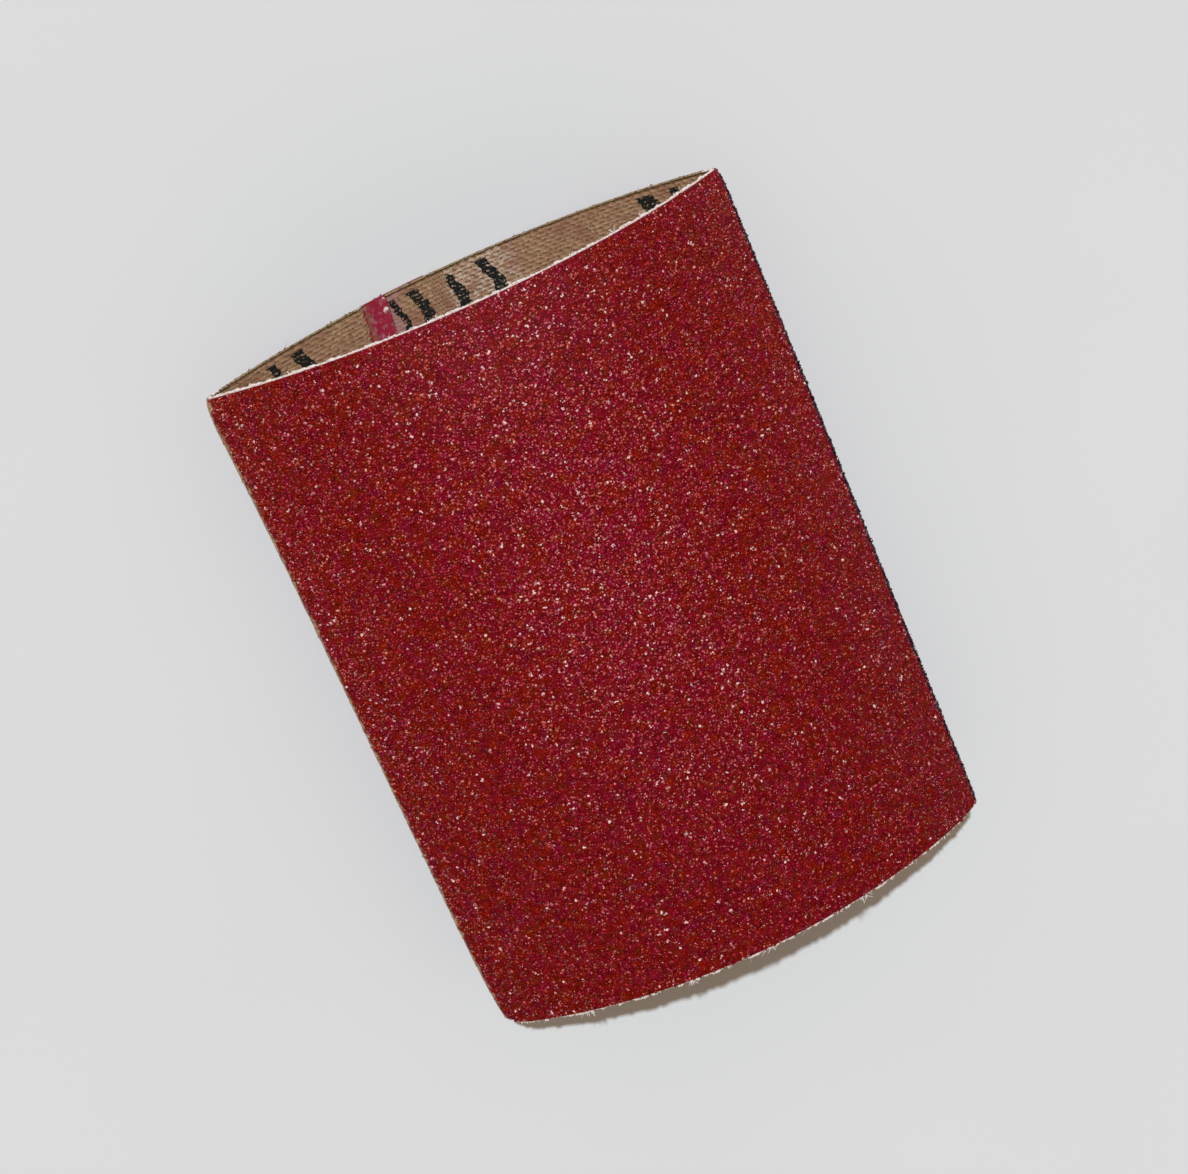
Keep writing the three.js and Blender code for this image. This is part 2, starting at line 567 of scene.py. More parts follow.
def ride(piece: bpy.types.Object, slot: str, *nodes: str) -> None:
    """Puts a finished piece on the sleeve's one body and reports it.

    Args:
        piece: The piece.
        slot: Not used.
        nodes: The CAD nodes that it stands for, if any.
    """
    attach(piece, "root")
    if nodes:
        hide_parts(*nodes)
    log.info("%s: %d triangles", piece.name, sum(len(p.vertices) - 2 for p in piece.data.polygons))


# ---------------------------------------------------------------- shader writing


class Value:
    """A number that varies over a surface, on which expressions add Math nodes."""

    def __init__(self, shader: "Shader", socket: bpy.types.NodeSocket) -> None:
        """Wraps a socket of a shader."""
        self.shader = shader
        self.socket = socket

    def _math(self, operation: str, first: "Value | float", second: "Value | float") -> "Value":
        """Adds a Math node."""
        made = self.shader.node("ShaderNodeMath", {"operation": operation}, {0: first, 1: second})
        return Value(self.shader, made.outputs[0])

    def __add__(self, other: "Value | float") -> "Value":
        """The sum."""
        return self._math("ADD", self, other)

    __radd__ = __add__

    def __sub__(self, other: "Value | float") -> "Value":
        """This less the other."""
        return self._math("SUBTRACT", self, other)

    def __rsub__(self, other: "Value | float") -> "Value":
        """The other less this."""
        return self._math("SUBTRACT", other, self)

    def __mul__(self, other: "Value | float") -> "Value":
        """The product."""
        return self._math("MULTIPLY", self, other)

    __rmul__ = __mul__

    def __gt__(self, other: "Value | float") -> "Value":
        """1 where this is larger, else 0."""
        return self._math("GREATER_THAN", self, other)

    def __lt__(self, other: "Value | float") -> "Value":
        """1 where this is smaller, else 0."""
        return self._math("LESS_THAN", self, other)

    def sine(self) -> "Value":
        """Its sine."""
        return self._math("SINE", self, 0.0)

    def size(self) -> "Value":
        """Its absolute value."""
        return self._math("ABSOLUTE", self, 0.0)

    def most(self, other: "Value | float") -> "Value":
        """The larger of the two."""
        return self._math("MAXIMUM", self, other)

    def least(self, other: "Value | float") -> "Value":
        """The smaller of the two."""
        return self._math("MINIMUM", self, other)

    def clamped(self) -> "Value":
        """Kept between 0 and 1."""
        return self.most(0.0).least(1.0)

    def to_and_fro(self, turn: float) -> "Value":
        """Folded so that it runs from 0 up to turn and back again."""
        return self._math("PINGPONG", self, turn)

    def step(self, low: float, high: float) -> "Value":
        """Turns it into a mask with a smooth edge.

        Args:
            low: Where the mask is 0.
            high: Where the mask is 1. It may be less than low.

        Returns:
            The mask.
        """
        made = self.shader.node(
            "ShaderNodeMapRange", {"interpolation_type": "SMOOTHSTEP"},
            {"Value": self, "From Min": low, "From Max": high})
        return Value(self.shader, made.outputs[0])


class Shader:
    """A material's node tree with one Principled shader."""

    def __init__(self, name: str, roughness: float, **constants: float) -> None:
        """Makes the material.

        Args:
            name: Name of the material.
            roughness: Roughness all over, unless set takes a varying one.
            constants: Other shader inputs that are the same all over, spaces as underscores.
        """
        self.material = bpy.data.materials.new(name)
        self.material.use_nodes = True
        self.tree = self.material.node_tree
        self.principled = self.tree.nodes["Principled BSDF"]
        self.principled.inputs["Roughness"].default_value = roughness
        for key, number in constants.items():
            self.principled.inputs[key.replace("_", " ")].default_value = number

    def node(self, kind: str, settings: dict | None = None, inputs: dict | None = None) -> bpy.types.Node:
        """Adds a node.

        Args:
            kind: The node's type.
            settings: Its settings, set before its sockets.
            inputs: Values or links for its sockets, by name or number.

        Returns:
            The node.
        """
        made = self.tree.nodes.new(kind)
        for key, setting in (settings or {}).items():
            setattr(made, key, setting)
        for key, given in (inputs or {}).items():
            socket = made.inputs[key]
            if isinstance(given, Value):
                self.tree.links.new(given.socket, socket)
            elif isinstance(given, bpy.types.NodeSocket):
                self.tree.links.new(given, socket)
            else:
                socket.default_value = given
        return made

    def place(self) -> bpy.types.NodeSocket:
        """The point's place in the sleeve's frame, in metres."""
        return self.node("ShaderNodeTexCoord").outputs["Object"]

    def split(self, vector: bpy.types.NodeSocket) -> tuple[Value, Value, Value]:
        """A vector's three parts."""
        parts = self.node("ShaderNodeSeparateXYZ", inputs={0: vector})
        return Value(self, parts.outputs[0]), Value(self, parts.outputs[1]), Value(self, parts.outputs[2])

    def flat(self) -> tuple[Value, Value, bpy.types.NodeSocket]:
        """Reads the point's place on the flat cloth, in millimetres.

        Returns:
            The distance around, the distance along, and both as a vector.
        """
        both = self.node("ShaderNodeUVMap", {"uv_map": FLAT_MAP}).outputs[0]
        around, along, _ = self.split(both)
        return around, along, both

    def noise(self, scale: float, detail: float = 2.0, where: bpy.types.NodeSocket | None = None) -> Value:
        """Adds soft noise from 0 to 1.

        Args:
            scale: How many features there are to a unit of length.
            detail: How many finer layers lie on it.
            where: What it is laid out on, or None for the sleeve's frame.

        Returns:
            The noise.
        """
        made = self.node("ShaderNodeTexNoise", inputs={
            "Vector": where or self.place(), "Scale": scale, "Detail": detail})
        return Value(self, made.outputs["Fac"])

    def cells(self, scale: float, where: bpy.types.NodeSocket | None = None) -> Value:
        """Draws a number from 0 to 1 for each of many small cells.

        Args:
            scale: How many cells there are to a unit of length.
            where: What they are laid out on, or None for the sleeve's frame.

        Returns:
            The number.
        """
        made = self.node("ShaderNodeTexVoronoi", inputs={"Vector": where or self.place(), "Scale": scale})
        parts = self.node("ShaderNodeSeparateColor", inputs={0: made.outputs["Color"]})
        return Value(self, parts.outputs[0])

    def mix(self, share: Value, first: "Colour | bpy.types.NodeSocket",
            second: "Colour | bpy.types.NodeSocket") -> bpy.types.NodeSocket:
        """Mixes two colours.

        Args:
            share: How much of the second there is.
            first: One colour.
            second: The other.

        Returns:
            The mixed colour.
        """
        given = [c if isinstance(c, bpy.types.NodeSocket) else (*c, 1.0) for c in (first, second)]
        made = self.node("ShaderNodeMix", {"data_type": "RGBA"}, {0: share, 6: given[0], 7: given[1]})
        return made.outputs[2]

    def set(self, **sockets: "Value | bpy.types.NodeSocket") -> None:
        """Feeds varying values to the shader.

        Args:
            sockets: The values by the names of their sockets, spaces as underscores.
        """
        for key, given in sockets.items():
            source = given.socket if isinstance(given, Value) else given
            self.tree.links.new(source, self.principled.inputs[key.replace("_", " ")])

    def bump(self, height: Value, distance: float) -> None:
        """Roughens the surface.

        Args:
            height: The relief, from 0 to 1.
            distance: How high 1 stands.
        """
        made = self.node("ShaderNodeBump", inputs={"Height": height, "Distance": distance, "Strength": 1.0})
        self.set(Normal=made.outputs[0])

    def on(self, piece: bpy.types.Object) -> None:
        """Gives the piece this material as its next slot."""
        piece.data.materials.append(self.material)


@dataclass(frozen=True)
class PrintedMark:
    """A generic printed mark of chevrons and bars. Sizes are in millimetres on the flat cloth."""

    row: float = 45.2
    half_height: float = 3.9
    slope: float = 0.4
    chevron_pitch: float = 5.4
    chevron_half_width: float = 0.85
    chevrons_about: float = 2.9
    chevrons_reach: float = 4.6
    wobble: float = 1.3
    bars: tuple[tuple[float, float], ...] = (
        (-13.4, 0.5), (-10.1, 0.8), (30.2, 1.3), (34.6, 0.7), (130.2, 0.5), (133.6, 0.8))

    def ink(self, shader: Shader, weave: Value) -> Value:
        """Lays the mark out, with wobbling edges and with gaps where the weave has kept the ink off.

        Args:
            shader: The cloth's shader.
            weave: Relief of the weave.

        Returns:
            1 where there is ink, else 0.
        """
        around, along, both = shader.flat()
        kept = (shader.noise(2.6, 3.0, both) - weave * 0.34).step(0.08, 0.26)
        around = around + (shader.noise(1.5, 3.0, both) - 0.5) * self.wobble
        across = (along - self.row).size()
        slanted = around + across * self.slope
        window = (around - self.chevrons_about).size() < self.chevrons_reach
        marks = (slanted.to_and_fro(self.chevron_pitch / 2) < self.chevron_half_width) * window
        for middle, half_width in self.bars:
            marks = marks.most((slanted - middle).size() < half_width)
        return marks * (across < self.half_height) * kept


@dataclass(frozen=True)
class FilledCotton:
    """The bore face: filled tan cotton twill with a printed mark, crimson where it is skived, and painted
    shade along its +Y cut end.

    Its pitch and places are in millimetres on the flat cloth.
    """

    lap: Lap
    mark: PrintedMark = PrintedMark()
    tan: Colour = (0.17, 0.08, 0.034)
    light_yarn: Colour = (0.59, 0.355, 0.205)
    worn: Colour = (0.68, 0.54, 0.43)
    stain: Colour = (0.26, 0.09, 0.06)
    # Painted shade: the dark line along the bore face at the +Y cut end.
    edge: Colour = (0.07, 0.04, 0.015)
    black: Colour = (0.012, 0.012, 0.01)
    crimson: Colour = (0.33, 0.014, 0.04)
    rosy: Colour = (0.42, 0.2, 0.19)
    yarn_pitch: float = 0.55
    worn_about: float = 3.0
    smear_reach: float = 3.2
    rim_shade_width: float = 0.12
    bare_wander: float = 2.2
    bare_blur: float = 0.35

    def material(self) -> Shader:
        """Makes the finish.

        Returns:
            Its shader.
        """
        shader = Shader("filled_cotton", roughness=0.75, Specular_IOR_Level=0.2)
        around, along, both = shader.flat()
        fleck = shader.noise(2.0, 3.0, both)
        weave = self._weave(shader, fleck)
        colour = shader.mix((weave * 0.75 + fleck * 1.3 - 0.55).clamped(), self.tan, self.light_yarn)
        blotch = shader.noise(0.3, 3.0, both).step(0.42, 0.68)
        colour = shader.mix(blotch * 0.5, colour, self.stain)
        rubbed = (around - self.worn_about).size().step(7.0, 3.5)
        rubbed = rubbed * shader.noise(0.8, 2.0, both).step(0.34, 0.56)
        colour = shader.mix(rubbed * (weave * 1.5 - 0.35).clamped(), colour, self.worn)
        smear = shader.noise(0.9, 3.0, both) * self.smear_reach + self.lap.cloth_start / MM
        colour = shader.mix((around - smear).step(0.3, -0.6) * 0.75, colour, self.rosy)
        colour = shader.mix(self.mark.ink(shader, weave), colour, self.black)
        cut = self.lap.section.length / 2 / MM
        # Painted shade: a dark line along the bore face at the +Y cut end.
        painted_rim_shade = (along + fleck * 0.5).step(cut, cut + self.rim_shade_width)
        colour = shader.mix(painted_rim_shade, colour, self.edge)
        bare = self._bare(shader)
        shader.set(Base_Color=shader.mix(bare, colour, self.crimson), Roughness=0.78 - bare * 0.5)
        shader.bump(weave * 0.9 + fleck * 0.6, 0.13 * MM)
        return shader

    def _weave(self, shader: Shader, fleck: Value) -> Value:
        """Weaves wavy rows of yarn with crowns where the yarns cross over.

        Args:
            shader: The cloth's shader.
            fleck: Fine unevenness of the yarn.

        Returns:
            The relief of the weave, about 0.5.
        """
        around, along, both = shader.flat()
        turn = 2 * math.pi / self.yarn_pitch
        rows = (along * turn + shader.noise(0.7, 2.0, both) * 5.0).sine()
        crowns = (around * (turn * 0.42) + along * (turn * 0.5) + fleck * 14.0).sine()
        return rows * 0.19 + crowns * 0.22 + 0.5

    def _bare(self, shader: Shader) -> Value:
        """Finds the skived strip of the outer end.

        Args:
            shader: The cloth's shader.

        Returns:
            1 on the strip and 0 off it, with a wandering edge.
        """
        around, _, both = shader.flat()
        wander = (shader.noise(1.4, 4.0, both) - 0.5) * self.bare_wander
        start = (self.lap.bare_start + self.lap.section.girth - 0.2 * self.lap.taper) / MM
        return (around + wander).step(start - self.bare_blur, start + self.bare_blur)


@dataclass(frozen=True)
class CutCotton:
    """Raw cotton where the cloth and its yarns are cut."""

    name: str
    light: Colour
    shade: Colour

    def material(self) -> Shader:
        """Makes the finish.

        Returns:
            Its shader.
        """
        shader = Shader(self.name, roughness=0.9, Specular_IOR_Level=0.1)
        fleck = shader.noise(2200.0, 2.0)
        shader.set(Base_Color=shader.mix(fleck.step(0.3, 0.55), self.shade, self.light))
        shader.bump(fleck, 0.04 * MM)
        return shader


WHITE_COTTON = CutCotton("white_cotton", light=(0.93, 0.82, 0.78), shade=(0.66, 0.52, 0.45))
# Painted shade: the lower wall's strands are dark brown for the shade along its rims.
SHADED_COTTON = CutCotton("shaded_cotton", light=(0.4, 0.27, 0.15), shade=(0.12, 0.07, 0.03))


def painted_sheen(across: Value) -> Value:
    """Painted sheen, from -1 to 1 across the sleeve: painted brightest along its middle and dullest beside
    it.
    """
    return (across * (math.pi / (27 * MM)) + math.pi / 2).sine()


@dataclass(frozen=True)
class Resin:
    """The red resin's clouded colour over the sleeve, with a painted sheen along its middle, a painted haze
    towards the +Y end and the right side, wear along the left crease and painted shade along the right
    crease.
    """

    rust: Colour
    crimson: Colour
    worn: Colour = (0.52, 0.35, 0.2)
    scuffed: Colour = (0.2, 0.06, 0.03)
    # Painted shade: a near-black band along the right crease.
    painted_crease_shade: Colour = (0.012, 0.003, 0.014)
    # Painted haze: a pale veil towards the +Y end and the right side.
    painted_haze: Colour = (0.5, 0.28, 0.36)
    worn_height: float = 1.05 * MM
    crease_height: float = 15.18 * MM
    painted_shade_from: float = 36.95 * MM
    painted_shade_blur: float = 0.35 * MM
    painted_shade_stray: float = 0.5 * MM
    coarse_stray: float = 1.0 * MM
    fine_stray: float = 1.6 * MM

    def colour(self, shader: Shader) -> bpy.types.NodeSocket:
        """Colours the sleeve.

        Args:
            shader: The shader of the piece.

        Returns:
            The colour.
        """
        across, along, height = shader.split(shader.place())
        colour = self._clouded(shader, across)
        # Painted haze towards the +Y end, strongest along the painted sheen, and towards the right side.
        settled = along.step(25 * MM, 50 * MM) * (painted_sheen(across) * 0.008 + 0.012)
        settled = settled + across.step(20 * MM, 37 * MM) * 0.008
        colour = shader.mix(settled, colour, self.painted_haze)
        worn = shader.mix(shader.noise(1400.0, 3.0).step(0.42, 0.66) * 0.75, self.worn, self.scuffed)
        colour = shader.mix(self._rubbed(shader, across, height), colour, worn)
        # Painted shade: a near-black ragged band along the right crease.
        uneven = across + (shader.noise(900.0, 3.0) - 0.5) * self.painted_shade_stray
        painted_shade_mask = uneven.step(self.painted_shade_from, self.painted_shade_from + self.painted_shade_blur)
        return shader.mix(painted_shade_mask, colour, self.painted_crease_shade)

    def _clouded(self, shader: Shader, across: Value) -> bpy.types.NodeSocket:
        """Clouds rust and crimson into each other, more crimson along the painted sheen, with earthy and
        violet patches.

        Args:
            shader: The shader of the piece.
            across: Places across the sleeve.

        Returns:
            The colour of the resin where nothing has worn it.
        """
        cloud = (shader.noise(520.0, 4.0) + painted_sheen(across) * 0.035).step(0.34, 0.66)
        colour = shader.mix(cloud, self.rust, self.crimson)
        red, green, blue = self.rust
        earthy = shader.noise(760.0, 2.0).step(0.53, 0.66) * 0.5
        colour = shader.mix(earthy, colour, (0.8 * red, green + 0.06 * red, blue))
        violet = shader.noise(890.0, 2.0).step(0.54, 0.66) * 0.35
        return shader.mix(violet, colour, (0.85 * red, green, blue + 0.17 * red))

    def _rubbed(self, shader: Shader, across: Value, height: Value) -> Value:
        """Finds the ragged band along the left crease that is rubbed down to the cloth.

        Args:
            shader: The shader of the piece.
            across: Places across the sleeve.
            height: Heights above the surface that the sleeve lies on.

        Returns:
            1 on the band and 0 off it.
        """
        ragged = (shader.noise(500.0, 2.0) - 0.5) * self.coarse_stray
        ragged = ragged + (shader.noise(1700.0, 3.0) - 0.5) * self.fine_stray
        from_crease = (height - self.crease_height).size() + ragged
        return from_crease.step(self.worn_height, 0.5 * self.worn_height) * (across < 0.0)


@dataclass(frozen=True)
class CuredResin:
    """Dark red-brown resin that fills between the grains."""

    name: str
    roughness: float = 0.4
    deep: Resin = Resin(rust=(0.11, 0.002, 0.001), crimson=(0.1, 0.001, 0.004))
    clear: Resin = Resin(rust=(0.24, 0.007, 0.002), crimson=(0.22, 0.003, 0.012))

    def material(self) -> Shader:
        """Makes the finish.

        Returns:
            Its shader.
        """
        shader = Shader(self.name, roughness=self.roughness, Specular_IOR_Level=0.07)
        pool = shader.noise(1100.0, 3.0).step(0.3, 0.65)
        shader.set(Base_Color=shader.mix(pool, self.deep.colour(shader), self.clear.colour(shader)))
        shader.bump(shader.noise(3500.0, 2.0), 0.04 * MM)
        return shader


@dataclass(frozen=True)
class GrainFinish:
    """Aluminium-oxide grain under a thin resin film, with painted glints, gleams and sheen in its colour,
    and darker towards the -Y end.
    """

    name: str
    deep: Resin
    bright: Resin
    share: float
    roughness: float = 0.35
    shine: float = 0.06
    # Painted highlights: pale glint and gleam specks painted into the colour.
    painted_glint: Colour = (1.0, 0.66, 0.64)
    painted_glint_above: float = 0.981
    painted_gleam: Colour = (0.68, 0.13, 0.135)
    painted_gleam_above: float = 0.895

    def material(self) -> Shader:
        """Makes the finish.

        Returns:
            Its shader.
        """
        shader = Shader(self.name, roughness=self.roughness, Specular_IOR_Level=self.shine)
        across, along, _ = shader.split(shader.place())
        # Painted sheen: a band along the middle that fades out towards the -Y end; painted glints also thin
        # out towards the -Y end.
        painted_sheen_band = painted_sheen(across) * (along * 20.0 + 1.0).clamped()
        painted_glint_density = painted_sheen_band * 0.8 + (along * 14.0).least(0.0)
        grain = shader.cells(2300.0)
        # Grain tone varies at random; painted light makes it lighter along the sheen and towards +Y, and
        # darker towards -Y.
        tone_and_painted_light = (grain + painted_sheen_band * 0.13 + (along * 11.0).least(0.16)).clamped()
        colour = shader.mix(tone_and_painted_light, self.deep.colour(shader), self.bright.colour(shader))
        # Painted highlights: gleaming and glinting specks, densest along the painted sheen.
        painted_gleam_mask = shader.cells(3600.0) + painted_glint_density * 0.07 > self.painted_gleam_above
        colour = shader.mix(painted_gleam_mask, colour, self.painted_gleam)
        painted_glint_mask = shader.cells(2700.0) + painted_glint_density * 0.016 > self.painted_glint_above
        colour = shader.mix(painted_glint_mask, colour, self.painted_glint)
        shader.set(Base_Color=colour, Roughness=self.roughness - 0.07 + grain * 0.14)
        return shader


@dataclass(frozen=True)
class LapGlueFinish:
    """Cured adhesive, glossy, pink where it has taken up resin, with whitish patches painted as highlights.
    """

    start: float
    pink: Colour = (0.35, 0.02, 0.05)
    brown: Colour = (0.26, 0.1, 0.06)
    rosy: Colour = (0.4, 0.14, 0.15)
    painted_glue_highlight: Colour = (0.9, 0.74, 0.74)

    def material(self) -> Shader:
        """Makes the finish.

        Returns:
            Its shader.
        """
        shader = Shader("cured_glue", roughness=0.16, Specular_IOR_Level=0.5, Coat_Weight=0.3)
        around, _, both = shader.flat()
        thin = (around - self.start / MM + (shader.noise(1.4, 4.0, both) - 0.5) * 2.4).step(0.9, 0.1)
        colour = shader.mix(thin, self.pink, self.brown)
        colour = shader.mix(shader.noise(1.1, 3.0, both).step(0.5, 0.66) * 0.8, colour, self.rosy)
        # Painted highlights: whitish patches on the glue.
        cloud = shader.noise(700.0, 2.0)
        shader.set(Base_Color=shader.mix(cloud.step(0.57, 0.66), colour, self.painted_glue_highlight))
        shader.bump(shader.noise(1100.0, 2.0), 0.16 * MM)
        return shader


# ---------------------------------------------------------------- the sleeve's pieces


@dataclass
class Cloth:
    """The woven strip, full at its inner end and skived at its outer end."""

    roller: Roller
    cell: float = 0.9 * MM
    cut_slope: float = 0.7

    def build(self) -> bpy.types.Object:
        """Cuts, skives and rolls the strip.

        Returns:
            The strip.
        """
        lap, section = self.roller.lap, self.roller.section
        start, end = lap.cloth_start, lap.end + section.girth
        cells = (round((end - start) / self.cell), round(section.length / (2 * self.cell)))
        columns = [lap.end, lap.skive_start + section.girth, lap.bare_start + section.girth,
                   lap.cloth_start + section.girth, *self.roller.crease_columns()]
        strip = Bench.blank("cloth_strip", start, end, section.length, cells, columns)
        self.roller.roll(strip, lap.cloth_faces)
        self.dress(strip)
        ride(strip, "backing_cloth", "backing_cloth")
        end - start
        return strip

    def dress(self, strip: bpy.types.Object) -> None:
        """Tan inside and white at the cut ends.

        Args:
            strip: The rolled strip.
        """
        FilledCotton(self.roller.lap).material().on(strip)
        WHITE_COTTON.material().on(strip)
        for face in strip.data.polygons:
            face.material_index = 1 if abs(face.normal.y) > self.cut_slope else 0


@dataclass
class Coats:
    """The make coat under the grains and the size coat between them."""

    roller: Roller
    make_depth: float = 0.5 * MM
    make_thickness: float = 0.09 * MM
    size_thickness: float = 0.2 * MM
    ripple: float = 0.04 * MM
    make_cell: float = 1.6 * MM
    size_cell: float = 0.75 * MM
    seed: int = 11

    def build(self) -> list[bpy.types.Object]:
        """Rolls both coats.

        Returns:
            The make coat and the size coat.
        """
        size_depth = self.make_depth + self.make_thickness
        return [
            self._coat("make_resin", "make_coat", self.make_depth, self.make_thickness, self.make_cell),
            self._coat("size_resin", "size_coat", size_depth, self.size_thickness, self.size_cell,
                       self._ripples),
        ]

    def _coat(self, name: str, node: str, depth: float, thickness: float, cell: float,
              relief: Callable[[np.ndarray], np.ndarray] | None = None) -> bpy.types.Object:
        """Rolls one coat.

        Args:
            name: Name of the piece and of its finish.
            node: The CAD node that it stands for.
            depth: Where its inner face lies.
            thickness: Its thickness.
            cell: Size of its cells.
            relief: Gives what is added to the depths at the blank's points.

        Returns:
            The new object.
        """
        lap, section = self.roller.lap, self.roller.section
        start, end = lap.coat_start, lap.end + section.girth
        cells = (round((end - start) / cell), round(section.length / cell))
        columns = [lap.bare_start + section.girth, lap.cloth_start + section.girth]
        columns += self.roller.crease_columns()
        coat = Bench.blank(name, start, end, section.length, cells, columns)
        self.roller.roll(coat, lap.coat_faces(depth, thickness), relief)
        CuredResin(name).material().on(coat)
        ride(coat, name, node)
        return coat

    def _ripples(self, flat: np.ndarray) -> np.ndarray:
        """Makes the outer face of the size coat uneven.

        Args:
            flat: The blank's points, one row each.

        Returns:
            What is added to the depth of each.
        """
        rng = np.random.default_rng(self.seed)
        return np.where(flat[:, 2] > 0.5, rng.uniform(-self.ripple, self.ripple, len(flat)), 0)


@dataclass
class GrainBed:
    """The bed of sharp grains, in pieces by finish."""

    roller: Roller
    pitch: float = 0.41 * MM
    grain: float = 0.38 * MM
    flatness: float = 0.62
    settle: float = math.radians(17)
    bed_depth: float = 0.79 * MM
    worn_width: float = 0.42 * MM
    worn_down: float = 0.12 * MM
    uneven: float = 0.035 * MM
    edge_share: float = 0.2
    jitter: float = 0.36
    settled_share: float = 0.7
    most_lean: float = 2.5
    sizes: tuple[float, float] = (0.72, 1.3)
    seed: int = 7

    def build(self) -> list[bpy.types.Object]:
        """Scatters the grains over the coats.

        Returns:
            The pieces of grain, one for each lot.
        """
        rng = np.random.default_rng(self.seed)
        moulds = [self._block(k) for k in range(4)] + [self._spike(k) for k in range(3)]
        centres = self._centres(rng)
        lots = [(finish, number) for finish, count in self.finishes() for number in range(count)]
        shares = np.array([finish.share for finish, _ in lots])
        kinds = rng.choice(len(lots), len(centres), p=shares / shares.sum())
        pieces = []
        for lot, (finish, number) in enumerate(lots):
            mine = centres[kinds == lot]
            shapes = rng.integers(len(moulds), size=len(mine))
            copies = Copies()
            for which, mould in enumerate(moulds):
                chosen = mine[shapes == which]
                copies.add(mould, chosen, self._attitudes(rng, len(chosen)))
            piece = copies.join(f"{finish.name}_{number + 1}", self.roller)
            finish.material().on(piece)
            ride(piece, "abrasive_grain", *([] if pieces else ["abrasive_grain"]))
            pieces.append(piece)
        return pieces

    def _attitudes(self, rng: np.random.Generator, count: int) -> np.ndarray:
        """Turns, sizes and settles grains: most lie with a flat side nearly level.

        Args:
            rng: Where the draws come from.
            count: How many grains there are.

        Returns:
            A 3 by 3 matrix for each grain.
        """
        sizes = self.grain * rng.uniform(*self.sizes, (count, 1, 3))
        turned = random_turns(rng, count)
        spin = rng.uniform(0, 2 * math.pi, count)
        most = self.most_lean * self.settle
        lean = np.clip(rng.normal(0, self.settle, (2, count)), -most, most)
        level = np.zeros((count, 3, 3))
        level[:, 0, 0], level[:, 0, 1] = np.cos(spin), -np.sin(spin)
        level[:, 1, 0], level[:, 1, 1] = np.sin(spin), np.cos(spin)
        level[:, 2, 0], level[:, 2, 1] = np.tan(lean[0]), np.tan(lean[1])
        level[:, 2, 2] = 1
        settled = rng.random(count) < self.settled_share
        turns = np.where(settled[:, None, None], level, turned) * sizes
        turns[:, 2] *= self.flatness
        return turns

    def finishes(self) -> list[tuple[GrainFinish, int]]:
        """The finishes of grain, and into how many pieces the grains of each are divided.

        Returns:
            Each finish with the number of its pieces.
        """
        deep = Resin(rust=(0.215, 0.005, 0.001), crimson=(0.21, 0.002, 0.009))
        mid = Resin(rust=(0.34, 0.013, 0.003), crimson=(0.34, 0.006, 0.026))
        bright = Resin(rust=(0.46, 0.036, 0.012), crimson=(0.46, 0.02, 0.068))
        # Painted glints: the pale tone of a few grains stands for highlights; those grains also have real
        # gloss.
        painted_glint_tone = Resin(rust=(0.9, 0.42, 0.3), crimson=(0.95, 0.42, 0.48))
        return [
            (GrainFinish("deep_grains", deep, mid, share=0.92), 3),
            (GrainFinish("waxy_grains", deep, mid, share=0.92, roughness=0.26), 2),
            (GrainFinish("clear_grains", mid, bright, share=0.8, roughness=0.3), 3),
            (GrainFinish("glossy_grains", deep, bright, share=0.95, roughness=0.24, shine=0.8), 2),
            (GrainFinish("painted_glint_grains", bright, painted_glint_tone, share=0.34, roughness=0.2, shine=0.8), 1),
        ]

    def _centres(self, rng: np.random.Generator) -> np.ndarray:
        """Lays the grains out on a jittered triangular lattice, with fewer on the worn crease.

        Args:
            rng: Where the draws come from.

        Returns:
            The grains' centres as flat points, one row each.
        """
        lap, section = self.roller.lap, self.roller.section
        edge = self.edge_share * self.grain
        row_step = self.pitch * math.sqrt(3) / 2
        rows = np.arange(-section.length / 2 + edge, section.length / 2 - edge, row_step)
        start, end = lap.coat_start + edge, lap.end + section.girth - edge
        columns = np.arange(start, end, self.pitch)
        around, along = np.meshgrid(columns, rows)
        around = around + (np.arange(len(rows)) % 2)[:, None] * self.pitch / 2
        jitter = rng.uniform(-self.jitter, self.jitter, (2, *around.shape)) * self.pitch
        around, along = (around + jitter[0]).ravel(), (along + jitter[1]).ravel()
        limit = section.length / 2 - edge
        inside = (around < end) & (around > start) & (np.abs(along) < limit)
        wear = np.exp(-(((around - 1.5 * section.half_girth) / self.worn_width) ** 2))
        inside &= rng.random(around.shape) > wear
        around, along, wear = around[inside], along[inside], wear[inside]
        depth = self.bed_depth - self.worn_down * wear + lap.lift(around)
        depth += rng.normal(0, self.uneven, len(around))
        return np.column_stack([around, along, depth])

    @staticmethod
    def _block(seed: int) -> Mould:
        """Breaks a blocky grain of unit size, with uneven faces.

        Args:
            seed: Which way it breaks.

        Returns:
            Its mould.
        """
        Bench.clear()
        bpy.ops.mesh.primitive_cube_add(size=0.86)
        bpy.ops.object.mode_set(mode="EDIT")
        bpy.ops.mesh.select_all(action="SELECT")
        bpy.ops.transform.vertex_random(offset=0.2, uniform=1.0, seed=seed)
        bpy.ops.object.mode_set(mode="OBJECT")
        return Mould.from_active()

    @staticmethod
    def _spike(seed: int) -> Mould:
        """Breaks a sharper grain of unit size, with a small blunt tip.

        Args:
            seed: Which way it breaks, and whether it has four sides or five.

        Returns:
            Its mould.
        """
        Bench.clear()
        bpy.ops.mesh.primitive_cone_add(vertices=4 + seed % 2, radius1=0.55, radius2=0.2, depth=0.95)
        bpy.ops.object.mode_set(mode="EDIT")
        bpy.ops.mesh.select_all(action="SELECT")
        bpy.ops.transform.vertex_random(offset=0.16, uniform=1.0, seed=40 + seed)
        bpy.ops.object.mode_set(mode="OBJECT")
        return Mould.from_active()


